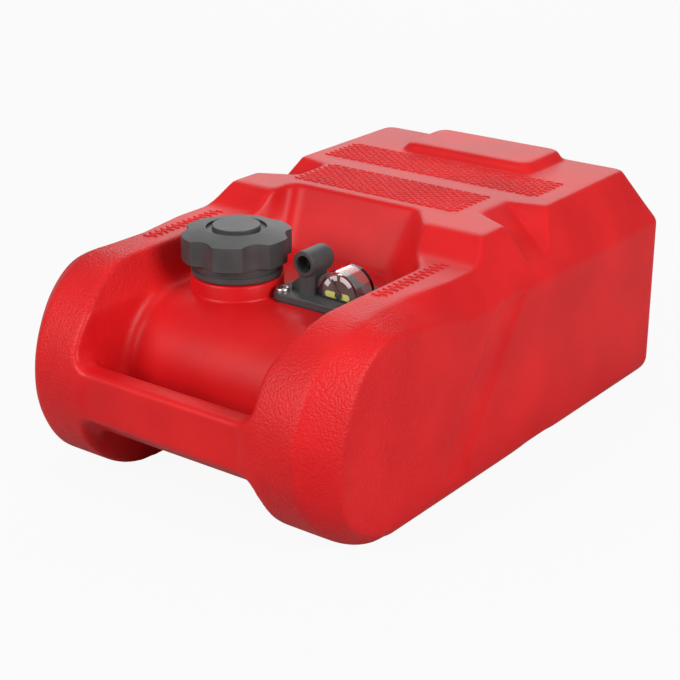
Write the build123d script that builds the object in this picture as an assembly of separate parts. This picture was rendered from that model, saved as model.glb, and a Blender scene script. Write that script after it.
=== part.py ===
from build123d import *
import os
from math import asin, cos, degrees, hypot, radians, sin

# Portable outboard fuel tank: a blow-moulded shell with a carrying grip, a vented screw cap,
# and a fuel pickup that carries a float gauge. All sizes in millimetres.
# X runs across the tank, Y runs from the grip (front) to the rear, Z is up.
# The origin is the centre of the footprint at floor level.

# ---- tank shell ----
LENGTH = 427.0
WIDTH = 262.0
TOP = 165.0  # top of the rear block
RAIL_TOP = 149.5  # top of the two side rails
DECK = 121.5  # sunk deck that carries the fittings
WALL = 3.5
HALF = WIDTH / 2
NOSE = RAIL_TOP / 2  # the rails end in a full round
BASE_ROUND = 12.0
CORNER_ROUND = 10.0
BLOCK_FRONT = 152.0  # where the stepped sides of the rear block begin
LEDGE_Z = 125.0
SHOULDER_Z = 141.0
SHOULDER_INSET = 9.0
TOP_INSET = 22.0
NOSE_BEVELS = [  # (angle round the nose, width, depth, bulge); 90 is the rail top
    (90, 22.5, 12.0, 2.0),
    (60, 20.5, 15.5, 2.0),
    (30, 22.5, 22.0, 2.0),
    (0, 23.5, 21.5, 2.0),
    (-30, 24.0, 15.0, 3.0),
    (-60, 18.0, 13.0, 4.0),
    (-90, 14.0, 12.5, 4.5),
]
RAIL_BEVEL = (23.0, 14.5, 2.0)  # width, depth and bulge half-way along the rail
RAIL_BEVEL_PLACE = 112.0
BLOCK_BEVEL = 13.6
BROW_FOOT = 188.0  # the rail top climbs to the block top between these two
BROW_TOP = 205.0

# ---- grip and the gap behind it ----
INNER = 74.5  # half width between the rails at deck level
GRIP_TOP = 91.0
GRIP_BOTTOM = 42.0
GRIP_DEPTH = 27.0
GRIP_SET_BACK = 1.8
GRIP_FLAT = 15.0  # depth of its top face
GRIP_REAR_DROP = 9.0
GRIP_FOOT = 6.0
GRIP_CHIN = 16.0
GRIP_ROUND = 3.9
GRIP_FLARE = 11.0
FINGER_GAP = 24.3
BELLY_ROLL = 48.5  # round from the deck down to the front wall
BELLY_LIFT = 54.0  # height where the front wall turns back under the tank
BELLY_RUN = 78.7
DECK_FILLET = 8.5

# ---- sunk bay: places at deck level and at block top, as (x, distance from the front) ----
BAY_SIDE_END = 165.0  # where the straight side walls end
BAY_REAR = 201.6
BAY_REAR_LEAN = 27.0
BAY_LEFT_TOP = 90.0
BAY_RIGHT_TOP = 92.0
BAY_LEFT_KNEE = (66.0, 190.0)
BAY_LEFT_KNEE_TOP = (70.0, 206.0)
BAY_LEFT_CORNER = 56.0
BAY_LEFT_CORNER_TOP = 70.0
BAY_RIGHT_KNEE = (52.0, 188.0)
BAY_RIGHT_KNEE_TOP = (60.0, 207.0)
BAY_RIGHT_CORNER = 34.0
BAY_RIGHT_CORNER_TOP = 42.0
BAY_ROUND = 12.0
BAY_OVERRUN = 25.0  # the cutter goes on above the block top
RUN_OUT = 20.0  # cutters start this far before the face they cut

# ---- rear top pad, strap scoops, side groove ----
PAD_RISE = 7.0
PAD_REAR = 26.0  # from the rear face
PAD_DEPTH = 52.0
PAD_HALF_WIDTH = 62.0
PAD_SLOPE = 8.0
SCOOP_FRONT = 248.0
SCOOP_LENGTH = 33.0
SCOOP_REACH = 52.0  # from the side face
SCOOP_LOW = 129.0
SCOOP_SPREAD = 36.0
SCOOP_MARGIN = 5.0
SCOOP_REAR_MARGIN = 6.0
SCOOP_FRONT_MARGIN = 4.0
SCOOP_TAPER = 18.0
SCOOP_INNER_RISE = 10.0  # the cutter goes on above the block top
SCOOP_OUTER_RISE = 15.0
NOTCH_FRONT = 208.0
NOTCH_LENGTH = 84.0
NOTCH_DEPTH = 5.0
NOTCH_REACH = 26.0
NOTCH_FRONT_RAMP = 34.0
NOTCH_REAR_RAMP = 26.0
NOTCH_RUN_OUT = 6.0
GROOVE_DEPTH = 2.0
GROOVE_CORNERS = [  # (distance from the front, height)
    (198.0, 128.0),
    (135.0, 41.0),
    (132.0, 16.0),
    (160.0, 16.0),
    (163.0, 31.0),
    (228.0, 126.0),
]

# ---- filler neck and cap ----
CAP_X = -36.0
CAP_FRONT = 123.3
BOSS_RADIUS = 32.0
BOSS_HEIGHT = 11.0
NECK_RADIUS = 27.0
NECK_BORE = 23.0
NECK_HEIGHT = 26.5
THREAD_PITCH = 5.0
THREAD_HEIGHT = 2.0
THREAD_TURNS = 2.0
THREAD_GAP = 0.45
THREAD_START = 1.6  # middle of the lowest turn, above the boss
THREAD_ROOT = 1.1  # half the ridge height at its root
THREAD_CREST = 0.5
CAP_GAP = 0.4
RING_RADIUS = 31.5
RING_TOP = 2.5
RING_GROOVE = 16.1  # its lower edge, above the deck
RING_GROOVE_WIDTH = 2.2
RING_GROOVE_DEPTH = 1.0
RING_LIP_ROUND = 1.5
KNOB_RADIUS = 37.8
KNOB_RISE = 43.3  # top of the knob above the deck
KNOB_HEIGHT = 20.4
KNOB_WALL = 2.5  # between the chamber and the groove
KNOB_LOBES = 6
LOBE_DEPTH = 4.2
LOBE_ROUND = 3.0
SCALLOP_RADIUS = 15.9
KNOB_FLAT = 21.5  # radius where the sloping top ends
KNOB_SLOPE = 3.6  # height of the sloping top
POCKET_RADIUS = 20.8  # round pocket that holds the disc
POCKET_DEPTH = 1.5
DISC_RADIUS = 16.4
DISC_SEAT = 0.8  # the disc sits this far below the pocket floor
DISC_THICKNESS = 4.0
GASKET = 2.3
VENT_RADIUS = 4.0
VENT_HOLE = 1.0  # lets air out of the groove beside the disc
POPPET_RADIUS = 7.0
POPPET_THICKNESS = 1.8
VENT_SEAL = 1.2
VENT_WIRE = 0.6
VENT_COILS = 2.5
VENT_STUD = 2.2  # guide above the poppet, inside the spring
FIT = 0.05  # radial clearance of a turning or sliding fit
SEAT = 0.1  # gap left between parts that are pressed together

# ---- pickup flange ----
FLANGE_X = 32.4
FLANGE_FRONT = 142.3  # its centre, from the front
FLANGE_WIDTH = 71.0
FLANGE_DEPTH = 51.0
FLANGE_THICKNESS = 4.7
FLANGE_ROUND = 8.0
FLANGE_GASKET = 1.2
SCREW_SPAN_X = 57.0
SCREW_SPAN_Y = 38.6
SCREW_RADIUS = 2.4
SCREW_HEAD = 4.7
SCREW_HEAD_HEIGHT = 3.0
SCREW_LENGTH = 17.0
INSERT_RADIUS = 4.0
INSERT_LENGTH = 10.0
INSERT_BOSS = 6.5
INSERT_DEPTH = 13.0
DECK_HOLE_X = (13.0, 54.0)
DECK_HOLE_FRONT = (128.0, 156.5)

# ---- pickup post, port and tube ----
POST_X = 20.4
POST_FRONT = 135.0
POST_WIDTH = 13.6
POST_DEPTH = 18.0
POST_ROUND = 4.0
WEB_REACH = 9.0  # the web runs this far out from the post
WEB_HEIGHT = 14.0
WEB_THICKNESS = 6.0
WEB_SHOULDER = 10.0
WEB_TOE = 3.0
PORT_HEIGHT = 27.4  # axis above the deck
PORT_RADIUS = 9.0
PORT_BORE = 5.95  # tapping size of a quarter inch pipe thread
PORT_THREAD = 10.0
PORT_MOUTH = 124.8
PORT_LENGTH = 24.5
PORT_END_ROUND = 4.0
PASSAGE = 3.0
SPIGOT_RADIUS = 4.0
SPIGOT_LENGTH = 16.0
TUBE_WALL = 1.2
STRAINER_RADIUS = 7.5
STRAINER_HEIGHT = 16.0
STRAINER_FLOOR = 3.0  # above the inner floor

# ---- float gauge ----
GAUGE_X = 45.0
PIVOT_HEIGHT = 9.3  # above the deck
SHAFT_RADIUS = 1.5
LENS_RADIUS = 16.8
LENS_WALL = 1.8
LENS_FRONT = 128.2
LENS_LENGTH = 20.0
LENS_SEAL = 1.2
LENS_CLEARANCE = 2.0
POINTER_THICKNESS = 0.8
DIAL_THICKNESS = 1.2
BRACKET_LENGTH = 6.0
HUB_RADIUS = 4.0
HUB_LENGTH = 5.0
ARM_RADIUS = 1.2
ARM_ELBOW = 26.0
ARM_RUN = 49.94  # from the shaft to the float, level, when the tank is empty
FLOAT_RADIUS = 12.0
FLOAT_LENGTH = 24.0
FLOAT_CEILING = 4.0
FLOAT_FLOOR = 2.5

DECK_TOP_OF_NECK = DECK + NECK_HEIGHT
FLANGE_BOTTOM = DECK + FLANGE_GASKET
FLANGE_TOP = FLANGE_BOTTOM + FLANGE_THICKNESS
PIVOT_Z = DECK + PIVOT_HEIGHT
PORT_Z = DECK + PORT_HEIGHT


def at(front):
    """Y of a place given by its distance from the front face."""
    return front - LENGTH / 2


def across(sketch, half):
    """A side view (Y, Z) swept to both sides of the centre plane."""
    return extrude(Plane.YZ * sketch, amount=half, both=True)


def both_sides(solid):
    return [solid, mirror(solid, Plane.YZ)]


def tube(outer, inner, low, high):
    """An upright tube on the Z axis."""
    ring = Circle(outer) - Circle(inner)
    return Pos(0, 0, low) * extrude(ring, amount=high - low)


def rod(radius, low, high):
    return Pos(0, 0, low) * extrude(Circle(radius), amount=high - low)


def rod_y(radius, x, z, front, length):
    """A rod along Y that starts at a distance from the front face."""
    disc = Plane((x, at(front), z), x_dir=(1, 0, 0), z_dir=(0, 1, 0)) * Circle(radius)
    return extrude(disc, amount=length)


# ---------------------------------------------------------------- tank shell
# Each form below is drawn for an inset t: 0 gives the outside, WALL gives the fuel space.


def side_form(t):
    """Side view: round nose, rail top, brow and rear block."""
    start = (at(NOSE), RAIL_TOP)
    foot = (at(BROW_FOOT), RAIL_TOP)
    brow = (at(BROW_TOP), TOP)
    with BuildSketch() as sketch:
        with BuildLine():
            Polyline(start, foot, brow, (at(LENGTH), TOP), (at(LENGTH), 0), (at(NOSE), 0))
            RadiusArc((at(NOSE), 0), start, NOSE)
        make_face()
        if t:
            offset(amount=-t, kind=Kind.INTERSECTION)
        else:
            fillet(sketch.vertices().sort_by_distance(foot)[0], 20)
            fillet(sketch.vertices().sort_by_distance(brow)[0], 8)
    return sketch.sketch


def footprint(half, front, rear, radius):
    with BuildSketch() as sketch:
        Polygon(
            (-half, at(front)), (half, at(front)), (half, at(rear)), (-half, at(rear)), align=None
        )
        fillet(sketch.vertices().sort_by(Axis.Y)[-2:], radius)
    return sketch.sketch


def envelope(t):
    """Upright sides below the ledge, then two sloping tiers round the rear block."""
    low = Pos(0, 0, t) * extrude(
        footprint(HALF - t, 0, LENGTH - t, CORNER_ROUND), amount=LEDGE_Z - t
    )
    if not t:
        rim = low.faces().sort_by(Axis.Z)[0].edges()
        low = fillet([e for e in rim if e.center().Y > at(5)], BASE_ROUND)
    rails = Pos(0, at(BLOCK_FRONT), LEDGE_Z - 5) * Box(
        WIDTH - 2 * t,
        BLOCK_FRONT + 10,
        RAIL_TOP - LEDGE_Z + 15,
        align=(Align.CENTER, Align.MAX, Align.MIN),
    )
    tiers = [(LEDGE_Z, 0), (SHOULDER_Z, SHOULDER_INSET), (TOP - t, TOP_INSET)]
    levels = [
        Plane.XY.offset(z)
        * footprint(HALF - t - inset, BLOCK_FRONT, LENGTH - t - inset, CORNER_ROUND - inset / 10)
        for z, inset in tiers
    ]
    body = low + rails
    for below, above in zip(levels, levels[1:]):
        body += loft([below, above], ruled=True)
    return body


def outside(line, t):
    """Corners of a region outside an oblique three-point line (width, height)."""
    first, middle, last = (Vector(*p) for p in line)
    run = (last - first).normalized()
    out = Vector(-run.Y, run.X)
    first, middle, last = (p - out * t for p in (first, middle, last))
    first, last = first - run * 30, last + run * 30
    return [first, middle, last, last + out * 60, first + out * 60]


def bevel_line(width, depth, bulge, radius):
    """A slightly convex bevel that is width wide and depth deep at the side face."""
    return [
        (HALF - width, radius),
        (HALF - width / 2 + bulge / 2, radius - depth / 2 + bulge / 2),
        (HALF, radius - depth),
    ]


def nose_section(angle, width, depth, bulge, t):
    """The bevel cutter in a plane through the nose axis; angle 90 is the rail top."""
    spoke = Vector(0, -cos(radians(angle)), sin(radians(angle)))
    centre = Vector(0, at(NOSE), NOSE)
    corners = outside(bevel_line(width, depth, bulge, NOSE), t)
    points = [centre + Vector(p.X, 0, 0) + spoke * p.Y for p in corners]
    return make_face(Polyline(*points, close=True))


def rail_section(line, front, t):
    points = [(p.X, at(front), p.Y) for p in outside(line, t)]
    return make_face(Polyline(*points, close=True))


def edge_bands(t):
    """Cutters for the broad bevel round the nose and its run back along the rail."""
    nose = [
        nose_section(angle, width, depth, bulge, t)
        for angle, width, depth, bulge in NOSE_BEVELS
    ]
    front = bevel_line(*NOSE_BEVELS[0][1:], RAIL_TOP)
    middle = bevel_line(*RAIL_BEVEL, RAIL_TOP)
    block = [
        (HALF - BLOCK_BEVEL, RAIL_TOP),
        (HALF - SHOULDER_INSET, SHOULDER_Z),
        (HALF, LEDGE_Z + 2),
    ]
    places = [(front, NOSE - 0.5), (middle, RAIL_BEVEL_PLACE), (block, BLOCK_FRONT)]
    rail = [rail_section(line, place, t) for line, place in places]
    return [loft(nose), loft(rail, ruled=True)]


def belly_outline(t):
    """Side view of all the air in front of and under the fuel space between the rails."""
    slope = BELLY_LIFT / BELLY_RUN
    wall = at(GRIP_DEPTH + FINGER_GAP + t)
    lift = BELLY_LIFT + t * (hypot(1, slope) - slope)
    low = (wall + (lift + 20) / slope, -20.0)
    turn = (wall, DECK - BELLY_ROLL)
    crest = (at(GRIP_DEPTH + FINGER_GAP + BELLY_ROLL), DECK - t)
    sky = 220.0
    with BuildSketch() as sketch:
        with BuildLine():
            Polyline(low, (wall, lift), turn)
            RadiusArc(turn, crest, BELLY_ROLL - t)
            Polyline(crest, (crest[0], sky), (at(-30), sky), (at(-30), -20.0), low)
        make_face()
    return sketch.sketch


def grip_outline(t):
    """Cross-section of the grip bar."""
    rear = at(GRIP_DEPTH)
    front = at(GRIP_SET_BACK)
    with BuildSketch() as sketch:
        Polygon(
            (front, GRIP_TOP),
            (front + GRIP_FLAT, GRIP_TOP),
            (rear, GRIP_TOP - GRIP_REAR_DROP),
            (rear, GRIP_BOTTOM),
            (rear - GRIP_FOOT, GRIP_BOTTOM),
            (front, GRIP_BOTTOM + GRIP_CHIN),
            align=None,
        )
        fillet(sketch.vertices(), GRIP_ROUND)
        if t:
            offset(amount=-t)
    return sketch.sketch


def grip_gap(t):
    """The air round the grip: above it, behind it and below it."""
    gap = across(belly_outline(t) - grip_outline(t), INNER + t)
    if not t:
        rim = [
            e
            for f in gap.faces().filter_by(Axis.X)
            for w in f.inner_wires()
            for e in w.edges()
        ]
        gap = fillet(rim, GRIP_FLARE)
        wall = [
            e
            for e in gap.edges()
            if abs(abs(e.center().X) - INNER) < 0.01
            and e.center().Y > at(GRIP_DEPTH + FINGER_GAP - 6)
            and 5 < e.center().Z < DECK - 0.5
        ]
        gap = fillet(wall, DECK_FILLET)
    return gap


def recess(t):
    """The sunk bay above the deck; its walls lean out towards the top."""
    left, left_top = BAY_LEFT_KNEE, BAY_LEFT_KNEE_TOP
    rear_top = BAY_REAR + BAY_REAR_LEAN
    low = [
        (-INNER, -RUN_OUT),
        (-INNER, BAY_SIDE_END),
        (-left[0], left[1]),
        (-BAY_LEFT_CORNER, BAY_REAR),
        (BAY_RIGHT_CORNER, BAY_REAR),
        BAY_RIGHT_KNEE,
        (INNER, BAY_SIDE_END),
        (INNER, -RUN_OUT),
    ]
    high = [
        (-BAY_LEFT_TOP, -RUN_OUT),
        (-BAY_LEFT_TOP, BAY_SIDE_END),
        (-left_top[0], left_top[1]),
        (-BAY_LEFT_CORNER_TOP, rear_top),
        (BAY_RIGHT_CORNER_TOP, rear_top),
        BAY_RIGHT_KNEE_TOP,
        (BAY_RIGHT_TOP, BAY_SIDE_END),
        (BAY_RIGHT_TOP, -RUN_OUT),
    ]

    def level(z):
        share = (z - DECK) / (TOP - DECK)
        points = [
            (a + share * (c - a), at(b + share * (d - b))) for (a, b), (c, d) in zip(low, high)
        ]
        outline = Polygon(*points, align=None)
        if t:
            outline = offset(outline, t, kind=Kind.INTERSECTION)
        else:
            outline = fillet(outline.vertices().sort_by(Axis.Y)[2:], BAY_ROUND)
        return Plane.XY.offset(z - t) * outline

    bay = loft([level(DECK), level(TOP + BAY_OVERRUN)], ruled=True)
    if not t:
        floor = bay.faces().sort_by(Axis.Z)[0].edges()
        bay = fillet([e for e in floor if e.center().Y > at(0)], DECK_FILLET)
    return bay


def strap_scoop(t):
    """A sloping scoop in the top edge of the right side, wider towards the side face."""
    front, rear = SCOOP_FRONT, SCOOP_FRONT + SCOOP_LENGTH
    inner_top = TOP + SCOOP_INNER_RISE
    outer_top = TOP + SCOOP_OUTER_RISE
    inner = [
        (front, TOP),
        (rear, TOP),
        (rear + SCOOP_REAR_MARGIN, inner_top),
        (front - SCOOP_MARGIN, inner_top),
    ]
    outer = [
        (front - SCOOP_MARGIN, SCOOP_LOW),
        (rear - SCOOP_TAPER, SCOOP_LOW),
        (rear + SCOOP_SPREAD - SCOOP_MARGIN, outer_top),
        (front - SCOOP_SPREAD - SCOOP_FRONT_MARGIN, outer_top),
    ]
    sections = []
    for x, corners in ((HALF - SCOOP_REACH, inner), (HALF + 6, outer)):
        outline = Polygon(*[(at(f), z) for f, z in corners], align=None)
        if t:
            outline = offset(outline, t, kind=Kind.INTERSECTION)
        sections.append(Plane.YZ.offset(x - t) * outline)
    return loft(sections, ruled=True)


def side_groove(t):
    """A shallow slanting channel down the right side, from the ledge to the nose."""
    outline = Polygon(*[(at(f), z) for f, z in GROOVE_CORNERS], align=None)
    if t:
        outline = offset(outline, t, kind=Kind.INTERSECTION)
    floor = Plane.YZ.offset(HALF - GROOVE_DEPTH - t) * offset(
        outline, -2 * GROOVE_DEPTH, kind=Kind.INTERSECTION
    )
    mouth = Plane.YZ.offset(HALF + GROOVE_DEPTH - t) * offset(
        outline, 2 * GROOVE_DEPTH, kind=Kind.INTERSECTION
    )
    return loft([floor, mouth], ruled=True)


def floor_notch(t):
    """A shallow arch in the bottom edge of the right side."""
    rear = NOTCH_FRONT + NOTCH_LENGTH
    corners = [
        (NOTCH_FRONT - NOTCH_RUN_OUT, -1),
        (rear + NOTCH_RUN_OUT, -1),
        (rear - NOTCH_REAR_RAMP, NOTCH_DEPTH),
        (NOTCH_FRONT + NOTCH_FRONT_RAMP, NOTCH_DEPTH),
    ]
    outline = Polygon(*[(at(f), z) for f, z in corners], align=None)
    if t:
        outline = offset(outline, t, kind=Kind.INTERSECTION)
    return extrude(Plane.YZ.offset(HALF - NOTCH_REACH - t) * outline, amount=NOTCH_REACH + 10)


def tank_form(t):
    """The tank body, t inside its outer faces."""
    body = across(side_form(t), HALF + 5) & envelope(t)
    cutters = edge_bands(t) + [strap_scoop(t), side_groove(t), floor_notch(t)]
    for cutter in cutters:
        for one in both_sides(cutter):
            body -= one
    return body - recess(t) - grip_gap(t)


def top_pad():
    """The raised pad near the rear top edge."""
    centre = at(LENGTH - PAD_REAR - PAD_DEPTH / 2)

    def level(z, shrink):
        outline = RectangleRounded(
            2 * (PAD_HALF_WIDTH - shrink), PAD_DEPTH + 8 - shrink, 12 - shrink / 2
        )
        return Pos(0, centre + shrink / 4, z) * outline

    low = TOP - WALL / 2
    return loft([level(low, 0), level(TOP + PAD_RISE, PAD_SLOPE)], ruled=True)


def screw_places():
    return [
        (FLANGE_X + i * SCREW_SPAN_X / 2, at(FLANGE_FRONT) + j * SCREW_SPAN_Y / 2)
        for i in (-1, 1)
        for j in (-1, 1)
    ]


def flange_outline(grow=0.0):
    plate = RectangleRounded(FLANGE_WIDTH + grow, FLANGE_DEPTH + grow, FLANGE_ROUND)
    return Pos(FLANGE_X, at(FLANGE_FRONT)) * plate


def deck_hole(grow=0.0):
    """Rounded opening in the deck for the pickup and the float arm."""
    x0, x1 = DECK_HOLE_X
    f0, f1 = DECK_HOLE_FRONT
    hole = RectangleRounded(x1 - x0 + 2 * grow, f1 - f0 + 2 * grow, 8)
    return Pos((x0 + x1) / 2, at((f0 + f1) / 2)) * hole


def thread(radius, low, outward):
    """A helical ridge: outward on the neck, inward in the cap."""
    turn = THREAD_PITCH * THREAD_TURNS
    path = Helix(pitch=THREAD_PITCH, height=turn, radius=radius)
    sign = 1 if outward else -1
    root, crest = -sign * 0.5, sign * (THREAD_HEIGHT - THREAD_GAP)
    profile = Polygon(
        (radius + root, -THREAD_ROOT),
        (radius + crest, -THREAD_CREST),
        (radius + crest, THREAD_CREST),
        (radius + root, THREAD_ROOT),
        align=None,
    )
    ridge = sweep(Plane.XZ * profile, path, is_frenet=True)
    return Pos(0, 0, low) * ridge


def tank_shell():
    shell = tank_form(0) - tank_form(WALL) + top_pad()
    neck = Pos(CAP_X, at(CAP_FRONT))
    boss = rod(BOSS_RADIUS, DECK - WALL, DECK + BOSS_HEIGHT)
    boss = fillet(boss.edges().sort_by(Axis.Z)[-1], 1.5)
    spout = rod(NECK_RADIUS, DECK, DECK_TOP_OF_NECK)
    ridge = thread(NECK_RADIUS, DECK + BOSS_HEIGHT + THREAD_START, True)
    shell += neck * (boss + spout + ridge)
    shell -= neck * rod(NECK_BORE, DECK - 2 * WALL, DECK_TOP_OF_NECK + 1)
    for x, y in screw_places():
        shell += Pos(x, y) * rod(INSERT_BOSS, DECK - INSERT_DEPTH, DECK - WALL / 2)
        shell -= Pos(x, y) * rod(INSERT_RADIUS, DECK - INSERT_LENGTH - SEAT, DECK + 1)
    return shell - Pos(0, 0, DECK - 2 * WALL) * extrude(deck_hole(), amount=4 * WALL)


# ---------------------------------------------------------------- cap

RING_LOW = DECK + BOSS_HEIGHT + CAP_GAP
PLATE_LOW = DECK_TOP_OF_NECK + SEAT + GASKET + SEAT
PLATE_HIGH = PLATE_LOW + RING_TOP
KNOB_HIGH = DECK + KNOB_RISE
KNOB_LOW = KNOB_HIGH - KNOB_HEIGHT
POCKET_FLOOR = KNOB_HIGH - POCKET_DEPTH
DISC_LOW = POCKET_FLOOR - DISC_SEAT
KNOB_ROOF = POCKET_FLOOR - KNOB_WALL
RING_BORE = NECK_RADIUS + THREAD_HEIGHT - THREAD_GAP + 0.5


def on_neck(solid):
    return Pos(CAP_X, at(CAP_FRONT)) * solid


def cap_ring():
    """Threaded skirt with the plate that presses the gasket on the neck."""
    ring = tube(RING_RADIUS, RING_BORE, RING_LOW, PLATE_LOW)
    ring += tube(RING_RADIUS, VENT_RADIUS, PLATE_LOW, PLATE_HIGH)
    rim = ring.edges().filter_by(GeomType.CIRCLE).group_by(Axis.Z)[0].sort_by(SortBy.RADIUS)[-1]
    ring = fillet(rim, RING_LIP_ROUND)
    groove = DECK + RING_GROOVE
    inner = RING_RADIUS - RING_GROOVE_DEPTH
    ring -= tube(RING_RADIUS + 1, inner, groove, groove + RING_GROOVE_WIDTH)
    low = DECK + BOSS_HEIGHT + THREAD_START + THREAD_PITCH / 2
    return on_neck(ring + thread(RING_BORE, low, False))


def cap_gasket():
    low = DECK_TOP_OF_NECK + SEAT
    return on_neck(tube(RING_BORE - 0.6, NECK_BORE, low, low + GASKET))


def lobe_outline():
    """A disc with broad scallops between its lobes."""
    outline = Circle(KNOB_RADIUS)
    reach = KNOB_RADIUS - LOBE_DEPTH + SCALLOP_RADIUS
    for i in range(KNOB_LOBES):
        angle = radians(360 * (i + 0.5) / KNOB_LOBES)
        outline -= Pos(reach * cos(angle), reach * sin(angle)) * Circle(SCALLOP_RADIUS)
    return fillet(outline.vertices(), LOBE_ROUND)


def cap_knob():
    """Lobed hand wheel over the threaded skirt, with a sloping top and a round pocket."""
    knob = Pos(0, 0, KNOB_LOW) * extrude(lobe_outline(), amount=KNOB_HEIGHT)
    spread = (KNOB_RADIUS - KNOB_FLAT) / KNOB_SLOPE
    envelope_height = KNOB_HEIGHT + 1
    knob &= Pos(0, 0, KNOB_HIGH) * Cone(
        KNOB_FLAT + spread * envelope_height,
        KNOB_FLAT,
        envelope_height,
        align=(Align.CENTER, Align.CENTER, Align.MAX),
    )
    knob -= rod(RING_RADIUS + FIT, KNOB_LOW - 1, PLATE_HIGH + SEAT)
    knob -= rod(RING_BORE - 5, PLATE_HIGH, KNOB_ROOF)
    knob -= rod(POCKET_RADIUS, POCKET_FLOOR, KNOB_HIGH + 1)
    knob -= rod(DISC_RADIUS + 0.2, DISC_LOW, KNOB_HIGH)
    vent = Pos(0, (DISC_RADIUS + POCKET_RADIUS) / 2) * rod(VENT_HOLE, KNOB_ROOF - 1, KNOB_HIGH)
    return on_neck(knob - vent)


def cap_disc():
    disc = rod(DISC_RADIUS, DISC_LOW + FIT, DISC_LOW + DISC_THICKNESS)
    return on_neck(fillet(disc.edges().sort_by(Axis.Z)[-1], 0.5))


def vent_seal():
    low = PLATE_HIGH + FIT
    return on_neck(tube(POPPET_RADIUS - 0.5, VENT_RADIUS - 1.5, low, low + VENT_SEAL))


def vent_poppet():
    """Relief valve: a disc on the seal with a guide stud above and below."""
    low = PLATE_HIGH + FIT + VENT_SEAL
    poppet = rod(POPPET_RADIUS, low, low + POPPET_THICKNESS)
    poppet += rod(VENT_RADIUS - 1.6, PLATE_LOW + 0.4, low)
    poppet += rod(2.4, low, low + POPPET_THICKNESS + VENT_STUD)
    return on_neck(poppet)


def vent_spring():
    """Coil spring between the poppet and the roof of the cap."""
    low = PLATE_HIGH + FIT + VENT_SEAL + POPPET_THICKNESS + VENT_WIRE / 2 + 0.05
    high = KNOB_ROOF - VENT_WIRE / 2 - 0.05
    path = Helix(pitch=(high - low) / VENT_COILS, height=high - low, radius=4.4)
    wire = sweep(Plane(path @ 0, z_dir=path % 0) * Circle(VENT_WIRE / 2), path, is_frenet=True)
    return on_neck(Pos(0, 0, low) * wire)


# ---------------------------------------------------------------- pickup


def flange_gasket():
    sheet = flange_outline(-0.6) - deck_hole(0.6)
    for x, y in screw_places():
        sheet -= Pos(x, y) * Circle(SCREW_RADIUS + 0.4)
    return Pos(0, 0, DECK) * extrude(sheet, amount=FLANGE_GASKET)


def arm_slot():
    """Slot in the flange under the float arm's hub."""
    front = hub_front() - 1.2
    slot = RectangleRounded(24, HUB_LENGTH + 2.4, 2)
    return Pos(GAUGE_X - 4, at(front + HUB_LENGTH / 2 + 1.2)) * slot


def pickup_body():
    """Flange, post and level port in one moulding."""
    plate = Pos(0, 0, FLANGE_BOTTOM) * extrude(flange_outline(), amount=FLANGE_THICKNESS)
    plate = chamfer(plate.faces().sort_by(Axis.Z)[-1].edges(), 0.8)
    post = Pos(POST_X, at(POST_FRONT)) * RectangleRounded(POST_WIDTH, POST_DEPTH, POST_ROUND)
    body = plate + Pos(0, 0, FLANGE_TOP - 1) * extrude(post, amount=PORT_Z - FLANGE_TOP + 1)
    web = Polygon(
        (POST_X - POST_WIDTH / 2 - WEB_REACH, FLANGE_TOP - 1),
        (POST_X, FLANGE_TOP - 1),
        (POST_X, FLANGE_TOP + WEB_HEIGHT),
        (POST_X - POST_WIDTH / 2 - 1, FLANGE_TOP + WEB_SHOULDER),
        (POST_X - POST_WIDTH / 2 - WEB_REACH, FLANGE_TOP + WEB_TOE),
        align=None,
    )
    body += Pos(0, at(POST_FRONT) + WEB_THICKNESS / 2) * extrude(
        Plane.XZ * web, amount=WEB_THICKNESS
    )
    barrel = rod_y(PORT_RADIUS, POST_X, PORT_Z, PORT_MOUTH, PORT_LENGTH)
    barrel = fillet(barrel.edges().sort_by(Axis.Y)[-1], PORT_END_ROUND)
    barrel = chamfer(barrel.edges().sort_by(Axis.Y)[0], 0.8)
    body += barrel
    body -= rod_y(PORT_BORE, POST_X, PORT_Z, PORT_MOUTH - 1, PORT_THREAD + 1)
    body -= rod_y(PASSAGE + 1, POST_X, PORT_Z, PORT_MOUTH, POST_FRONT - PORT_MOUTH)
    stem = Pos(POST_X, at(POST_FRONT))
    body += stem * rod(SPIGOT_RADIUS, FLANGE_BOTTOM - SPIGOT_LENGTH, FLANGE_BOTTOM + 1)
    body -= stem * rod(PASSAGE, FLANGE_BOTTOM - SPIGOT_LENGTH - 1, PORT_Z)
    body -= Pos(0, 0, FLANGE_BOTTOM - 1) * extrude(arm_slot(), amount=FLANGE_THICKNESS + 2)
    for x, y in screw_places():
        body -= Pos(x, y) * rod(SCREW_RADIUS + 0.3, FLANGE_BOTTOM - 1, FLANGE_TOP + 1)
    return body


def flange_screws():
    """Four pan-head screws with cross recesses."""
    head = rod(SCREW_HEAD, FLANGE_TOP, FLANGE_TOP + SCREW_HEAD_HEIGHT)
    head = fillet(head.edges().sort_by(Axis.Z)[-1], 1.8)
    screw = head + rod(SCREW_RADIUS, FLANGE_TOP - SCREW_LENGTH + 3, FLANGE_TOP + 0.5)
    slot = Pos(0, 0, FLANGE_TOP + SCREW_HEAD_HEIGHT) * Box(5.2, 1.2, 3.0)
    screw = screw - slot - Rot(0, 0, 90) * slot
    return Compound([Pos(x, y) * screw for x, y in screw_places()])


def screw_inserts():
    """Four brass inserts moulded into the deck."""
    insert = tube(INSERT_RADIUS, SCREW_RADIUS + FIT, DECK - INSERT_LENGTH, DECK)
    return Compound([Pos(x, y) * insert for x, y in screw_places()])


def pickup_tube():
    """Drop tube pushed over the spigot, cut off inside the strainer."""
    low = WALL + STRAINER_FLOOR + 5
    high = FLANGE_BOTTOM - 1
    bore = SPIGOT_RADIUS + FIT
    return Pos(POST_X, at(POST_FRONT)) * tube(bore + TUBE_WALL, bore, low, high)


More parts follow.
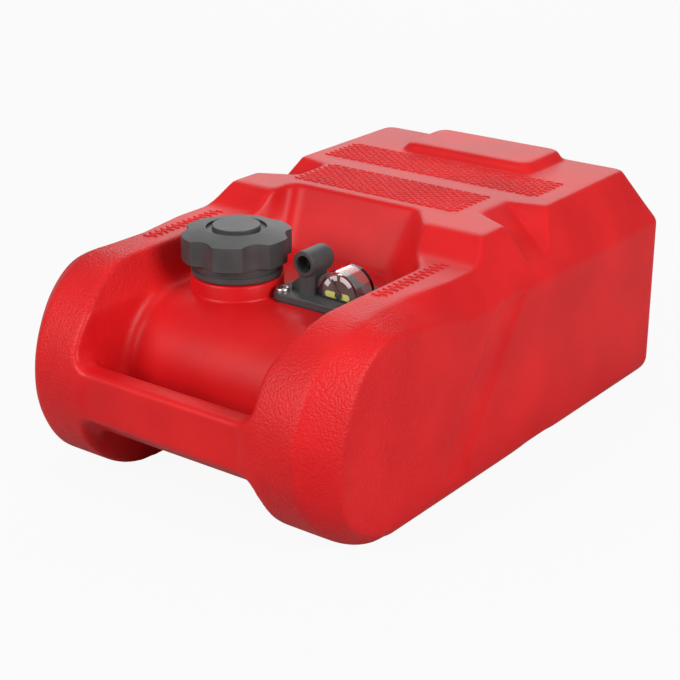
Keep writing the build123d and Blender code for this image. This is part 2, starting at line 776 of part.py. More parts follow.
def strainer():
    """Slotted cup pressed over the end of the drop tube."""
    low = WALL + STRAINER_FLOOR
    high = low + STRAINER_HEIGHT
    grip = SPIGOT_RADIUS + TUBE_WALL + 2 * FIT
    cup = tube(STRAINER_RADIUS, STRAINER_RADIUS - 1.2, low, high)
    cup += rod(STRAINER_RADIUS, low, low + 1.2)
    cup += tube(STRAINER_RADIUS, grip, high - 3, high)
    for i in range(4):
        cup -= Rot(0, 0, 45 * i) * Pos(0, 0, low + 6.5) * Box(2 * STRAINER_RADIUS + 2, 1.6, 8)
    return Pos(POST_X, at(POST_FRONT)) * cup


# ---------------------------------------------------------------- gauge


def pointer_front():
    return LENS_FRONT + LENS_WALL + 0.6


def dial_front():
    return pointer_front() + POINTER_THICKNESS + 0.5


def bracket_front():
    return dial_front() + DIAL_THICKNESS


def hub_front():
    return bracket_front() + BRACKET_LENGTH + 1.0


def arch(radius, low):
    """A round-topped outline about the pivot with a flat foot, as seen from the front."""
    foot = Pos(GAUGE_X, (low + PIVOT_Z) / 2) * Rectangle(2 * radius, PIVOT_Z - low)
    return Pos(GAUGE_X, PIVOT_Z) * Circle(radius) + foot & Pos(GAUGE_X, low + 50) * Rectangle(
        4 * radius, 100
    )


def arch_solid(radius, low, front, length):
    return Pos(0, at(front)) * extrude(Plane.XZ * arch(radius, low), amount=-length)


def gauge_bracket():
    """Arched bearing block on the flange."""
    radius = LENS_RADIUS - LENS_WALL - LENS_CLEARANCE
    block = arch_solid(radius, FLANGE_TOP, bracket_front(), BRACKET_LENGTH)
    return block - rod_y(SHAFT_RADIUS + FIT, GAUGE_X, PIVOT_Z, bracket_front() - 1, 40)


def gauge_dial():
    """Half-round scale plate on the front of the bracket."""
    radius = LENS_RADIUS - LENS_WALL - LENS_CLEARANCE + 0.8
    plate = arch_solid(radius, FLANGE_TOP + 0.3, dial_front(), DIAL_THICKNESS)
    return plate - rod_y(SHAFT_RADIUS + 0.5, GAUGE_X, PIVOT_Z, dial_front() - 1, 4)


def gauge_lens():
    """Clear arched window over dial, bracket and hub."""
    low = FLANGE_TOP + LENS_SEAL
    outer = arch_solid(LENS_RADIUS, low, LENS_FRONT, LENS_LENGTH)
    inner = arch_solid(
        LENS_RADIUS - LENS_WALL, low - 1, LENS_FRONT + LENS_WALL, LENS_LENGTH - 2 * LENS_WALL
    )
    return outer - inner


def lens_seal():
    """Flat rubber frame under the foot of the lens."""
    frame = Rectangle(2 * LENS_RADIUS, LENS_LENGTH)
    frame -= Rectangle(2 * (LENS_RADIUS - LENS_WALL), LENS_LENGTH - 2 * LENS_WALL)
    place = Pos(GAUGE_X, at(LENS_FRONT + LENS_LENGTH / 2), FLANGE_TOP)
    return place * extrude(frame, amount=LENS_SEAL)


def gauge_shaft():
    front = pointer_front() + POINTER_THICKNESS
    length = hub_front() + HUB_LENGTH + 0.5 - front
    return rod_y(SHAFT_RADIUS, GAUGE_X, PIVOT_Z, front, length)


def float_low():
    """Height of the float's centre when the tank is empty."""
    return WALL + FLOAT_FLOOR + FLOAT_RADIUS


def arm_reach():
    return hypot(ARM_RUN, PIVOT_Z - float_low())


def float_angles():
    """Arm angles below level for a full and an empty tank."""
    full = DECK - WALL - FLOAT_CEILING - FLOAT_RADIUS
    empty = float_low()
    return [degrees(asin((PIVOT_Z - z) / arm_reach())) for z in (full, empty)]


def gauge_pointer():
    """Pointer on the front end of the shaft; it stands half the swing left of upright."""
    full, empty = float_angles()
    tip = LENS_RADIUS - LENS_WALL - LENS_CLEARANCE - 1.5
    needle = Polygon((-1.6, 0), (1.6, 0), (0.5, tip), (-0.5, tip), align=None) + Circle(2.6)
    face = Pos(GAUGE_X, PIVOT_Z) * Rot(0, 0, (empty - full) / 2) * needle
    return Pos(0, at(pointer_front())) * extrude(Plane.XZ * face, amount=-POINTER_THICKNESS)


def arm_points():
    """Pivot, elbow and float centre at rest, as (x, z)."""
    full, empty = float_angles()
    elbow = radians(225 + empty - full)
    reach = radians(180 + empty)
    return [
        (GAUGE_X + r * cos(a), PIVOT_Z + r * sin(a))
        for r, a in ((HUB_RADIUS - 1, elbow), (ARM_ELBOW, elbow), (arm_reach(), reach))
    ]


def arm_front():
    return hub_front() + HUB_LENGTH / 2


def gauge_hub():
    """Clamp hub that fixes the float arm on the shaft."""
    hub = rod_y(HUB_RADIUS, GAUGE_X, PIVOT_Z, hub_front(), HUB_LENGTH)
    hub -= rod_y(SHAFT_RADIUS, GAUGE_X, PIVOT_Z, hub_front() - 1, HUB_LENGTH + 2)
    return hub - arm_wire(ARM_RADIUS)


def arm_wire(radius):
    start, elbow, end = ((x, at(arm_front()), z) for x, z in arm_points())
    run = Vector(*elbow) - Vector(*start)
    leg = extrude(Plane(start, z_dir=run) * Circle(radius), amount=run.length)
    reach = Vector(*end) - Vector(*elbow)
    bend = Pos(*elbow) * Sphere(radius)
    wire = extrude(Plane(elbow, z_dir=reach) * Circle(radius), amount=reach.length)
    return leg + bend + wire


def float_arm():
    """Bent wire from the hub to a cross pin through the float."""
    x, z = arm_points()[2]
    pin = rod_y(ARM_RADIUS, x, z, arm_front() - FLOAT_LENGTH / 2 - 3, FLOAT_LENGTH + 6)
    return arm_wire(ARM_RADIUS) + pin


def float_body():
    """Foam float with a cleft for the arm wire."""
    x, z = arm_points()[2]
    body = rod_y(FLOAT_RADIUS, x, z, arm_front() - FLOAT_LENGTH / 2, FLOAT_LENGTH)
    body = fillet(body.edges(), 2.0)
    body -= rod_y(ARM_RADIUS + FIT, x, z, arm_front() - FLOAT_LENGTH, 2 * FLOAT_LENGTH)
    return body - arm_wire(ARM_RADIUS + FIT)


def float_clips():
    """Two push-on washers that keep the float on its pin."""
    x, z = arm_points()[2]
    front = arm_front() - FLOAT_LENGTH / 2 - 1.2
    rear = arm_front() + FLOAT_LENGTH / 2 + 0.2
    clips = []
    for start in (front, rear):
        clip = rod_y(3.5, x, z, start, 1.0) - rod_y(ARM_RADIUS, x, z, start - 1, 3)
        clips.append(clip)
    return Compound(clips)


PARTS = {
    "tank_shell": tank_shell,
    "cap_ring": cap_ring,
    "cap_gasket": cap_gasket,
    "cap_knob": cap_knob,
    "cap_disc": cap_disc,
    "vent_poppet": vent_poppet,
    "vent_seal": vent_seal,
    "vent_spring": vent_spring,
    "flange_gasket": flange_gasket,
    "pickup_body": pickup_body,
    "flange_screws": flange_screws,
    "screw_inserts": screw_inserts,
    "pickup_tube": pickup_tube,
    "strainer": strainer,
    "gauge_bracket": gauge_bracket,
    "gauge_dial": gauge_dial,
    "gauge_lens": gauge_lens,
    "lens_seal": lens_seal,
    "gauge_shaft": gauge_shaft,
    "gauge_pointer": gauge_pointer,
    "gauge_hub": gauge_hub,
    "float_arm": float_arm,
    "float_body": float_body,
    "float_clips": float_clips,
}

os.makedirs("parts", exist_ok=True)
for node, build in PARTS.items():
    export_step(build(), f"parts/{node}.step")
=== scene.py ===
from math import pi, radians

import bmesh
import bpy
import numpy as np
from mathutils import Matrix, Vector


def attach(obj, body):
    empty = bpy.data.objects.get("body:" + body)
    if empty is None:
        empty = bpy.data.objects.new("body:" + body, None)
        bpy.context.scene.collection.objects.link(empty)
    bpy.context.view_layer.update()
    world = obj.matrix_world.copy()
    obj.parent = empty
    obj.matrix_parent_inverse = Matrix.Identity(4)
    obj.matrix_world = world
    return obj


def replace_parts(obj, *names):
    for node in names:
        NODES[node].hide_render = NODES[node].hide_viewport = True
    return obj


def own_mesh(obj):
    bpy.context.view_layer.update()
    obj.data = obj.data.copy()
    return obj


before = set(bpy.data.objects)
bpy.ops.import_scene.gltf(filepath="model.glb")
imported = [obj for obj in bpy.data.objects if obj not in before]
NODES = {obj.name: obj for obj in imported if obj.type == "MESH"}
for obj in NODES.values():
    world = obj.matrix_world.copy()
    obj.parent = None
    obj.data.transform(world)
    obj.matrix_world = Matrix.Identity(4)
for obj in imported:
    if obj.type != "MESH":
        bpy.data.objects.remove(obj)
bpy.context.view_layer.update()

# Portable outboard fuel tank, in metres.
# X runs across the tank, Y from the grip to the rear, Z is up.
MM = 0.001
DECK = 121.5 * MM
SKIN_CELL = 1.4 * MM
SKIN_PASSES = 8
SKIN_TRIANGLES = 190000
PEBBLE = 1.6 * MM
PEBBLE_DEPTH = 0.34 * MM
PEBBLE_FROM_X = (70 * MM, 82 * MM)  # it fades in over this distance from the middle
PEBBLE_TO_Y = (-135 * MM, -85 * MM)  # and fades out over this stretch behind the nose
CAP_AXIS = np.array([-36.0, -90.2]) * MM
BOSS_RADIUS = 32.0 * MM
BOSS_TOP = 132.5 * MM
NECK_RADIUS = 27.0 * MM
NECK_BORE = 23.0 * MM
NECK_TOP = 148.0 * MM
NECK_FOOT = 117.0 * MM
NECK_CUT = (22.0 * MM, 33.5 * MM)  # inner and outer radius of the ring cut from the shell
NECK_CUT_TOP = 153.0 * MM
THREAD_PITCH = 5.0 * MM
THREAD_START = 134.1 * MM
THREAD_RISE = 10.0 * MM
THREAD_DEPTH = 1.5 * MM
THREAD_ROOT = 0.4 * MM  # how far the ridge reaches into the neck
THREAD_ROWS = 200
THREAD_FADE = 24  # the ridge is full after this share (1 in 24) of its length
COIL_RADIUS = 4.4 * MM
COIL_WIRE = 0.3 * MM
COIL_TURNS = 2.5
COIL_LOW = 156.4 * MM
COIL_HIGH = 160.45 * MM
DIAL_X = 45.0 * MM
DIAL_Z = 130.8 * MM
BAND_CENTRE = (-1.5 * MM, -0.8 * MM)  # from the shaft
BAND_REACH = 7.8 * MM  # to the centres of its round ends
BAND_RADIUS = 2.3 * MM
BLOCK_RING = (9.9 * MM, 13.4 * MM)
BLOCK_ARCS = [(-66, -42), (-36, -8), (5, 52)]  # degrees from upright
BAR_WIDTH = 1.3 * MM
BAR_LENGTH = 6.4 * MM
BAR_HEIGHT = 0.8 * MM
BAR_DRAFT = 0.3 * MM
BAR_SINK = 0.5 * MM
BAR_PITCH = (7.8 * MM, 2.9 * MM)
BAR_FIELDS = [  # (x from, x to, y from, y to, height of the face), in millimetres
    (-98, 98, 90.5, 128.5, 165.0),
    (-77, 66, 25.5, 70.5, 165.0),
    (90, 106, -108.0, -34.0, 149.5),
    (-106, -90, -108.0, -34.0, 149.5),
]
FLOOR_SIZE = 6.0
FLOOR_GLOW = 0.93  # share of plain white that the camera sees
SKY_LIGHT = 0.3
SKY_SEEN = 1.0
LAMPS = [  # (name, place, target, width, watts)
    ("front_light", (-0.5, -1.7, 1.2), (0, 0, 0.07), 1.1, 28),
    ("right_light", (1.9, -0.3, 0.9), (0, 0, 0.07), 0.9, 29),
    ("sheen_light", (-1.0, 1.5, 1.0), (0, 0, 0.12), 1.5, 11),
    ("top_light", (0.1, 0.1, 2.0), (0, 0, 0.1), 1.2, 3),
]
CAMERA_PLACE = (0.6593, -0.8984, 0.5103)
CAMERA_LENS = 87.37
CAMERA_DOWN = 21.935  # degrees below level
CAMERA_TURN = 36.934


# ---------------------------------------------------------------- shader maths


class Wire:
    """An output socket. Arithmetic on it adds Math nodes to its material."""

    def __init__(self, finish, socket):
        self.finish = finish
        self.socket = socket

    def math(self, operation, *values):
        return self.finish.node("ShaderNodeMath", {"operation": operation}, dict(enumerate(values)))

    def __add__(self, other):
        return self.math("ADD", self, other)

    def __sub__(self, other):
        return self.math("SUBTRACT", self, other)

    def __rsub__(self, other):
        return self.math("SUBTRACT", other, self)

    def __mul__(self, other):
        return self.math("MULTIPLY", self, other)

    def __gt__(self, other):
        return self.math("GREATER_THAN", self, other)

    def __lt__(self, other):
        return self.math("LESS_THAN", self, other)

    def step(self, low, high):
        """0 below low, 1 above high, smooth between."""
        return self.finish.node(
            "ShaderNodeMapRange",
            {"interpolation_type": "SMOOTHSTEP"},
            {0: self, 1: low, 2: high},
        )

    __radd__ = __add__


class Finish:
    """A material with one Principled shader and short calls that add nodes to it."""

    def __init__(self, name, color, roughness, **fixed):
        self.material = bpy.data.materials.new(name)
        self.material.use_nodes = True
        self.tree = self.material.node_tree
        self.shader = self.tree.nodes["Principled BSDF"]
        self.set("Base Color", (*color, 1.0))
        self.set("Roughness", roughness)
        for socket, value in fixed.items():
            self.set(socket.replace("_", " "), value)

    def node(self, kind, settings=None, inputs=None, output=0):
        """Adds a node: its settings first, then the values or links of its sockets."""
        new = self.tree.nodes.new(kind)
        for key, value in (settings or {}).items():
            setattr(new, key, value)
        for key, value in (inputs or {}).items():
            self.join(new.inputs[key], value)
        return Wire(self, new.outputs[output])

    def join(self, socket, value):
        if isinstance(value, Wire):
            self.tree.links.new(value.socket, socket)
        else:
            socket.default_value = value

    def set(self, name, value):
        self.join(self.shader.inputs[name], value)

    def place(self):
        """Position on the object, and its three parts."""
        point = self.node("ShaderNodeTexCoord", output="Object")
        parts = self.tree.nodes.new("ShaderNodeSeparateXYZ")
        self.join(parts.inputs[0], point)
        return point, [Wire(self, out) for out in parts.outputs]

    def noise(self, point, size, detail=2.0, roughness=0.5):
        """Cloudy pattern with patches about size metres wide."""
        return self.node(
            "ShaderNodeTexNoise",
            inputs={"Vector": point, "Scale": 1 / size, "Detail": detail, "Roughness": roughness},
        )

    def cells(self, point, size):
        """Distance to the nearest of scattered points about size metres apart."""
        return self.node("ShaderNodeTexVoronoi", inputs={"Vector": point, "Scale": 1 / size})

    def blend(self, share, first, second):
        """Colour that goes from first to second as share goes from 0 to 1."""
        first, second = ((*c, 1.0) if isinstance(c, tuple) else c for c in (first, second))
        return self.node(
            "ShaderNodeMix", {"data_type": "RGBA"}, {0: share, 6: first, 7: second}, output=2
        )

    def bump(self, height, depth):
        """Surface relief: height runs 0 to 1 and stands for depth metres."""
        normal = self.node(
            "ShaderNodeBump", inputs={"Height": height, "Distance": depth, "Strength": 1.0}
        )
        self.set("Normal", normal)


def red_polyethylene():
    """Semi-gloss red: cloudy colour, fine grain all over, pebble grain on the rails and nose, and
    painted shade that deepens the colour towards the floor.
    """
    red = Finish("red_polyethylene", (0.66, 0.009, 0.011), 0.4, Specular_IOR_Level=0.24)
    point, (x, y, z) = red.place()
    cloud = red.noise(point, 0.06, 3.0)
    fine = red.noise(point, 0.0011, 2.0)
    pebble = red.cells(point, PEBBLE)
    outer = x.math("ABSOLUTE", x).step(*PEBBLE_FROM_X)
    front = 1 - y.step(*PEBBLE_TO_Y)
    band = outer * front
    # painted shade: the colour is darkened over the lowest 5 cm, towards the floor
    low = 1 - z.step(0.0, 0.05)
    deep, bright = (0.56, 0.006, 0.009), (0.7, 0.011, 0.012)
    red.set("Base Color", red.blend(cloud.step(0.25, 0.75) * (1 - low * 0.6), deep, bright))
    red.set("Roughness", cloud * 0.08 + fine * 0.1 + band * 0.05 + 0.3)
    red.bump(fine * (1 - band) * 0.3 + (1 - pebble) * band, PEBBLE_DEPTH)
    return red.material


def moulded(name, color, roughness, grain=0.0008, depth=0.00006):
    """Moulded plastic: slight cloudiness and a spark-eroded grain."""
    plastic = Finish(name, color, roughness)
    point, _ = plastic.place()
    cloud = plastic.noise(point, 0.02, 3.0)
    fine = plastic.noise(point, grain, 3.0)
    light = tuple(min(1.0, c * 1.18) for c in color)
    dark = tuple(c * 0.84 for c in color)
    plastic.set("Base Color", plastic.blend(cloud.step(0.3, 0.7), dark, light))
    plastic.set("Roughness", fine * 0.18 + (roughness - 0.09))
    plastic.bump(fine, depth)
    return plastic.material


def metal(name, color, roughness, stretch):
    """Metal with fine drawn or turned lines along one axis."""
    shine = Finish(name, color, roughness, Metallic=1.0)
    point, _ = shine.place()
    lines = shine.node("ShaderNodeMapping", inputs={"Vector": point, "Scale": stretch})
    streak = shine.noise(lines, 0.0006, 2.0)
    cloud = shine.noise(point, 0.004, 2.0)
    dark = tuple(c * 0.8 for c in color)
    shine.set("Base Color", shine.blend(cloud.step(0.3, 0.8), color, dark))
    shine.set("Roughness", streak * 0.2 + (roughness - 0.1))
    shine.bump(streak, 0.00002)
    return shine.material


def clear_acrylic():
    """Clear window with faint handling haze."""
    clear = Finish("clear_acrylic", (0.97, 0.98, 0.98), 0.04, IOR=1.49, Transmission_Weight=1.0)
    point, _ = clear.place()
    haze = clear.noise(point, 0.006, 3.0)
    clear.set("Roughness", haze.step(0.55, 0.85) * 0.1 + 0.03)
    return clear.material


def foam():
    """Closed-cell foam with open pores in its skin; the pores are darkened with painted shade."""
    body = Finish("float_foam", (0.03, 0.03, 0.032), 0.85)
    point, _ = body.place()
    pores = body.cells(point, 0.0014)
    # the pore colour is painted shade in the hollows; the skin colour is the foam's own
    pore_shade, skin = (0.012, 0.012, 0.013), (0.04, 0.04, 0.042)
    body.set("Base Color", body.blend(pores.step(0.1, 0.6), pore_shade, skin))
    body.bump(pores, 0.0003)
    return body.material


def dial_face():
    """Grey scale plate: white blocks in an arc above the shaft and a yellow band below them."""
    face = Finish("dial_face", (0.08, 0.075, 0.07), 0.5)
    point, (x, y, z) = face.place()
    across = x - DIAL_X
    up = z - DIAL_Z
    reach = across.math("SQRT", across * across + up * up)
    turn = across.math("ARCTAN2", across, up)
    ring = (reach > BLOCK_RING[0]) * (reach < BLOCK_RING[1])
    arcs = sum((turn > radians(a)) * (turn < radians(b)) for a, b in BLOCK_ARCS)
    white = ring * arcs
    aside = across - BAND_CENTRE[0]
    past = aside.math("MAXIMUM", aside.math("ABSOLUTE", aside) - BAND_REACH, 0.0)
    above = up - BAND_CENTRE[1]
    yellow = past.math("SQRT", past * past + above * above) < BAND_RADIUS
    grain = face.noise(point, 0.0005, 2.0)
    plate = face.blend(grain, (0.06, 0.055, 0.052), (0.1, 0.092, 0.086))
    marked = face.blend(white, plate, (0.86, 0.86, 0.84))
    face.set("Base Color", face.blend(yellow, marked, (0.93, 0.86, 0.2)))
    face.set("Roughness", grain * 0.15 + 0.4)
    return face.material


MATERIALS = {
    "red": red_polyethylene(),
    "charcoal": moulded("charcoal_nylon", (0.05, 0.051, 0.052), 0.46),
    "rubber": moulded("seal_rubber", (0.018, 0.018, 0.019), 0.75, 0.0006, 0.00004),
    "steel": metal("stainless_steel", (0.68, 0.68, 0.67), 0.28, (1, 1, 8)),
    "brass": metal("turned_brass", (0.72, 0.52, 0.22), 0.3, (1, 1, 8)),
    "nylon": moulded("natural_nylon", (0.78, 0.77, 0.72), 0.5),
    "dial": dial_face(),
    "clear": clear_acrylic(),
    "foam": foam(),
}

FINISHES = {
    "tank_shell": "red",
    "cap_ring": "charcoal",
    "cap_gasket": "rubber",
    "cap_knob": "charcoal",
    "cap_disc": "charcoal",
    "vent_poppet": "charcoal",
    "vent_seal": "rubber",
    "vent_spring": "steel",
    "flange_gasket": "rubber",
    "pickup_body": "charcoal",
    "flange_screws": "steel",
    "screw_inserts": "brass",
    "pickup_tube": "nylon",
    "strainer": "nylon",
    "gauge_bracket": "charcoal",
    "gauge_dial": "dial",
    "gauge_lens": "clear",
    "lens_seal": "rubber",
    "gauge_shaft": "steel",
    "gauge_pointer": "charcoal",
    "gauge_hub": "brass",
    "float_arm": "steel",
    "float_body": "foam",
    "float_clips": "steel",
}


def dress(obj, finish):
    obj.data.materials.clear()
    obj.data.materials.append(MATERIALS[finish])


for node, finish in FINISHES.items():
    dress(NODES[node], finish)


# ---------------------------------------------------------------- meshes


def piece(name, vertices, faces, finish, body):
    """Puts a computed surface into the scene and sets it on its body."""
    mesh = bpy.data.meshes.new(name)
    mesh.from_pydata(vertices.tolist(), [], faces.tolist())
    mesh.shade_smooth()
    obj = bpy.data.objects.new(name, mesh)
    bpy.context.scene.collection.objects.link(obj)
    finish_piece(obj, finish, body)
    return obj


def finish_piece(obj, finish, body):
    dress(obj, finish)
    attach(obj, body)


def grid_faces(rows, columns, wrap_rows=True, wrap_columns=True):
    """Quads that join neighbours of a rows by columns grid of vertices."""
    i = np.arange(rows if wrap_rows else rows - 1)[:, None]
    j = np.arange(columns if wrap_columns else columns - 1)[None, :]
    i2, j2 = (i + 1) % rows, (j + 1) % columns
    corners = [i * columns + j, i2 * columns + j, i2 * columns + j2, i * columns + j2]
    return np.stack([c.ravel() for c in np.broadcast_arrays(*corners)], axis=1)


def lathe(outline, segments, centre):
    """A closed outline (radius, height) turned about an upright axis:
    x = cx + r cos a, y = cy + r sin a, z = height."""
    a = np.linspace(0, 2 * pi, segments, endpoint=False)[:, None]
    r, z = np.array(outline).T
    v = np.stack([centre[0] + r * np.cos(a), centre[1] + r * np.sin(a), z + 0 * a], axis=2)
    return v.reshape(-1, 3), grid_faces(segments, len(outline))


def softened(source, cell, passes, limit):
    """The surface of source in even cells. Each pass moves every corner halfway to the mean
    of its neighbours, which rounds the creases and leaves flat faces flat."""
    remesh = source.modifiers.new("cells", "REMESH")
    remesh.mode = "VOXEL"
    remesh.voxel_size = cell
    mesh = applied(source)
    count = len(mesh.vertices)
    v = np.empty(count * 3)
    mesh.vertices.foreach_get("co", v)
    v = v.reshape(-1, 3)
    ends = np.empty(len(mesh.edges) * 2, dtype=np.int64)
    mesh.edges.foreach_get("vertices", ends)
    a, b = ends.reshape(-1, 2).T
    near = np.bincount(np.concatenate([a, b]), minlength=count)[:, None]
    for _ in range(passes):
        total = np.stack(
            [
                np.bincount(a, v[b, k], count) + np.bincount(b, v[a, k], count)
                for k in range(3)
            ],
            axis=1,
        )
        v += 0.5 * (total / near - v)
    mesh.vertices.foreach_set("co", v.ravel())
    mesh.update()
    obj = bpy.data.objects.new("softened", mesh)
    bpy.context.scene.collection.objects.link(obj)
    mesh.calc_loop_triangles()
    thin = obj.modifiers.new("thin", "DECIMATE")
    thin.ratio = min(1.0, limit / len(mesh.loop_triangles))
    final = applied(obj)
    final.shade_smooth()
    bpy.data.objects.remove(obj)
    return final


def applied(obj):
    """The mesh of obj with its modifiers applied."""
    shown = obj.evaluated_get(bpy.context.evaluated_depsgraph_get())
    return bpy.data.meshes.new_from_object(shown)


def tank_skin():
    """The moulded shell with its soft edges; the neck is cut off and made apart."""
    work = bmesh.new()
    work.from_mesh(NODES["tank_shell"].data)
    bmesh.ops.remove_doubles(work, verts=work.verts, dist=1e-6)
    mesh = bpy.data.meshes.new("tank_blank")
    work.to_mesh(mesh)
    work.free()
    blank = bpy.data.objects.new("tank_blank", mesh)
    bpy.context.scene.collection.objects.link(blank)
    inner, outer = NECK_CUT
    low, high = DECK, NECK_CUT_TOP
    outline = [(inner, low), (outer, low), (outer, high), (inner, high)]
    vertices, faces = lathe(outline, 96, CAP_AXIS)
    tool_mesh = bpy.data.meshes.new("neck_cut")
    tool_mesh.from_pydata(vertices.tolist(), [], faces.tolist())
    tool = bpy.data.objects.new("neck_cut", tool_mesh)
    bpy.context.scene.collection.objects.link(tool)
    recalculate(tool_mesh)
    cut = blank.modifiers.new("neck", "BOOLEAN")
    cut.operation = "DIFFERENCE"
    cut.solver = "EXACT"
    cut.object = tool
    final = softened(blank, SKIN_CELL, SKIN_PASSES, SKIN_TRIANGLES)
    bpy.data.objects.remove(tool)
    bpy.data.objects.remove(blank)
    skin = bpy.data.objects.new("tank_skin", final)
    bpy.context.scene.collection.objects.link(skin)
    finish_piece(skin, "red", "tank")
    return skin


def recalculate(mesh):
    work = bmesh.new()
    work.from_mesh(mesh)
    bmesh.ops.recalc_face_normals(work, faces=work.faces)
    work.to_mesh(mesh)
    work.free()


def filler_neck():
    """The neck with its boss, turned about the cap's axis."""
    outline = [
        (NECK_BORE, NECK_FOOT),
        (BOSS_RADIUS, NECK_FOOT),
        (BOSS_RADIUS + 0.8 * MM, DECK - 0.2 * MM),
        (BOSS_RADIUS + 0.2 * MM, DECK + 0.5 * MM),
        (BOSS_RADIUS, DECK + 1.4 * MM),
        (BOSS_RADIUS, BOSS_TOP - 1.5 * MM),
        (BOSS_RADIUS - 0.5 * MM, BOSS_TOP - 0.4 * MM),
        (BOSS_RADIUS - 1.5 * MM, BOSS_TOP),
        (NECK_RADIUS + 0.6 * MM, BOSS_TOP),
        (NECK_RADIUS, BOSS_TOP + 0.6 * MM),
        (NECK_RADIUS, NECK_TOP - 0.6 * MM),
        (NECK_RADIUS - 0.5 * MM, NECK_TOP),
        (NECK_BORE + 0.5 * MM, NECK_TOP),
        (NECK_BORE, NECK_TOP - 0.6 * MM),
    ]
    vertices, faces = lathe(outline, 128, CAP_AXIS)
    neck = piece("filler_neck", vertices, faces, "red", "tank")
    recalculate(neck.data)
    return neck


def neck_thread():
    """A ridge carried along a helix: radius runs out to the crest and back to the neck,
    and both ends fade to nothing."""
    turns = THREAD_RISE / THREAD_PITCH
    t = np.linspace(0, 1, THREAD_ROWS)[:, None]
    fade = np.minimum(1, np.minimum(t, 1 - t) * THREAD_FADE)
    out = np.array([-THREAD_ROOT, THREAD_DEPTH, THREAD_DEPTH, -THREAD_ROOT])
    rise = np.array([-1.1, -0.5, 0.5, 1.1]) * MM
    r = NECK_RADIUS + np.where(out > 0, out * fade, out + 0 * fade)
    a = 2 * pi * turns * t
    z = THREAD_START + THREAD_RISE * t + rise
    v = np.stack([CAP_AXIS[0] + r * np.cos(a), CAP_AXIS[1] + r * np.sin(a), z], axis=2)
    faces = grid_faces(THREAD_ROWS, 4, wrap_rows=False)
    start = np.arange(4)
    faces = np.vstack([faces, start, THREAD_ROWS * 4 - 1 - start])
    ridge = piece("neck_thread", v.reshape(-1, 3), faces, "red", "tank")
    recalculate(ridge.data)
    return ridge


def vent_coil():
    """The vent's spring, round wire along a helix:
    x = cx + (R + r cos b) cos a, y = cy + (R + r cos b) sin a, z = low + rise t + r sin b."""
    rows, sides = 160, 12
    t = np.linspace(0, 1, rows)[:, None]
    b = np.linspace(0, 2 * pi, sides, endpoint=False)[None, :]
    a = 2 * pi * COIL_TURNS * t
    reach = COIL_RADIUS + COIL_WIRE * np.cos(b)
    z = COIL_LOW + (COIL_HIGH - COIL_LOW) * t + COIL_WIRE * np.sin(b)
    v = np.stack([CAP_AXIS[0] + reach * np.cos(a), CAP_AXIS[1] + reach * np.sin(a), z], axis=2)
    k = np.arange(sides // 2 - 1)[:, None]
    end = np.hstack([k, k + 1, sides - 2 - k, sides - 1 - k])
    faces = [grid_faces(rows, sides, wrap_rows=False), end, end[:, ::-1] + (rows - 1) * sides]
    coil = piece("vent_coil", v.reshape(-1, 3), np.vstack(faces), "steel", "cap")
    recalculate(coil.data)
    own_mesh(coil)
    return coil


def raised_bars():
    """Short bars in staggered rows on the block top and the rail tops. Each bar is a closed
    block: corner = centre + half size * sign, drawn in by BAR_DRAFT at the top."""
    centres = []
    for x0, x1, y0, y1, face in BAR_FIELDS:
        x = np.arange(x0 * MM + BAR_LENGTH / 2, x1 * MM - BAR_LENGTH, BAR_PITCH[0])
        y = np.arange(y0 * MM, y1 * MM, BAR_PITCH[1])
        stagger = (np.arange(len(y)) % 2)[:, None] * BAR_PITCH[0] / 2
        x, y = x[None, :] + stagger, y[:, None] + 0 * x[None, :]
        centres.append(np.stack([x, y, 0 * x + face * MM], axis=2).reshape(-1, 3))
    sign = np.array([[-1, -1], [1, -1], [1, 1], [-1, 1]])
    half = np.array([BAR_LENGTH, BAR_WIDTH]) / 2
    foot = np.column_stack([sign * half, np.full(4, -BAR_SINK)])
    head = np.column_stack([sign * (half - BAR_DRAFT), np.full(4, BAR_HEIGHT)])
    v = np.vstack(centres)[:, None, :] + np.vstack([foot, head])[None, :, :]
    sides = [[0, 1, 5, 4], [1, 2, 6, 5], [2, 3, 7, 6], [3, 0, 4, 7]]
    shape = np.array([[3, 2, 1, 0], [4, 5, 6, 7]] + sides)
    faces = (np.arange(len(v))[:, None, None] * 8 + shape[None]).reshape(-1, 4)
    bars = piece("raised_bars", v.reshape(-1, 3), faces, "red", "tank")
    bars.data.shade_flat()
    return bars


skin = tank_skin()
neck = filler_neck()
ridge = neck_thread()
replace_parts(skin, "tank_shell")
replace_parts(neck, "tank_shell")
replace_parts(ridge, "tank_shell")
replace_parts(raised_bars(), "tank_shell")
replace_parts(vent_coil(), "vent_spring")


# ---------------------------------------------------------------- stage, light and camera


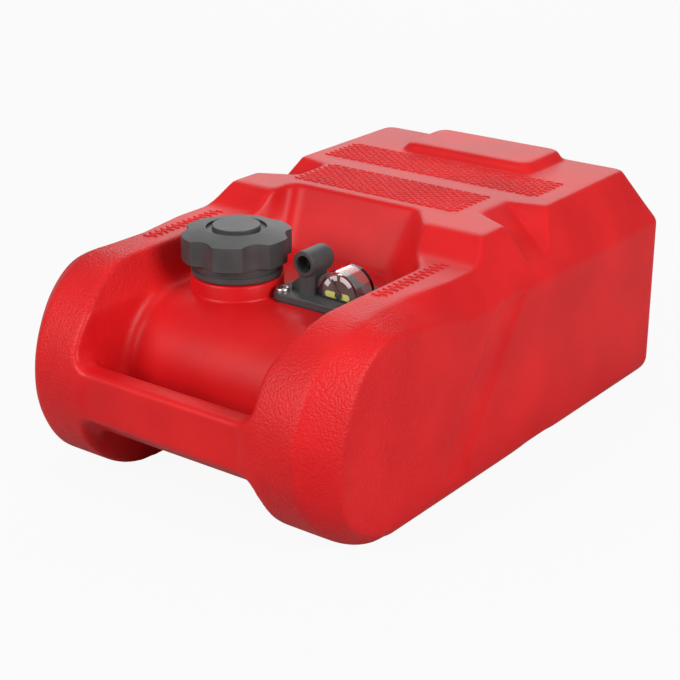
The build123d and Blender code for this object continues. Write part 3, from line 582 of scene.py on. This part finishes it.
def stage():
    """A wide pale floor that looks white and keeps the shadow under the tank."""
    size = FLOOR_SIZE
    mesh = bpy.data.meshes.new("floor")
    corners = [(-size, -size, 0), (size, -size, 0), (size, size, 0), (-size, size, 0)]
    mesh.from_pydata(corners, [], [(0, 1, 2, 3)])
    floor = bpy.data.objects.new("floor", mesh)
    bpy.context.scene.collection.objects.link(floor)
    pale = Finish("pale_floor", (0.42, 0.42, 0.42), 0.9, Specular_IOR_Level=0.0)
    glow = pale.node("ShaderNodeEmission", inputs={"Color": (1, 1, 1, 1), "Strength": 1.0})
    seen = pale.node("ShaderNodeLightPath", output="Is Camera Ray") * FLOOR_GLOW
    base = Wire(pale, pale.shader.outputs[0])
    mixed = pale.node("ShaderNodeMixShader", inputs={0: seen, 1: base, 2: glow})
    pale.join(pale.tree.nodes["Material Output"].inputs[0], mixed)
    mesh.materials.append(pale.material)


def sky():
    """Soft grey light from all round that looks white to the camera and through the lens."""
    world = bpy.data.worlds.new("studio")
    world.use_nodes = True
    bpy.context.scene.world = world
    tree = world.node_tree
    paths = tree.nodes.new("ShaderNodeLightPath")
    most = tree.nodes.new("ShaderNodeMath")
    most.operation = "MAXIMUM"
    tree.links.new(paths.outputs["Is Camera Ray"], most.inputs[0])
    tree.links.new(paths.outputs["Is Transmission Ray"], most.inputs[1])
    strength = tree.nodes.new("ShaderNodeMapRange")
    tree.links.new(most.outputs[0], strength.inputs[0])
    strength.inputs[3].default_value = SKY_LIGHT
    strength.inputs[4].default_value = SKY_SEEN
    back = tree.nodes["Background"]
    back.inputs[0].default_value = (1, 1, 1, 1)
    tree.links.new(strength.outputs[0], back.inputs[1])


def lamp(name, place, target, size, power):
    data = bpy.data.lights.new(name, "AREA")
    data.size = size
    data.energy = power
    obj = bpy.data.objects.new(name, data)
    obj.location = place
    aim = (np.array(target) - np.array(place)).tolist()
    obj.rotation_euler = Vector(aim).to_track_quat("-Z", "Y").to_euler()
    bpy.context.scene.collection.objects.link(obj)


def camera():
    data = bpy.data.cameras.new("camera")
    data.sensor_width = 36.0
    data.lens = CAMERA_LENS
    obj = bpy.data.objects.new("camera", data)
    obj.location = CAMERA_PLACE
    obj.rotation_euler = (radians(90 - CAMERA_DOWN), 0, radians(CAMERA_TURN))
    bpy.context.scene.collection.objects.link(obj)
    bpy.context.scene.camera = obj


stage()
sky()
for settings in LAMPS:
    lamp(*settings)
camera()
bpy.context.scene.view_settings.view_transform = "Standard"
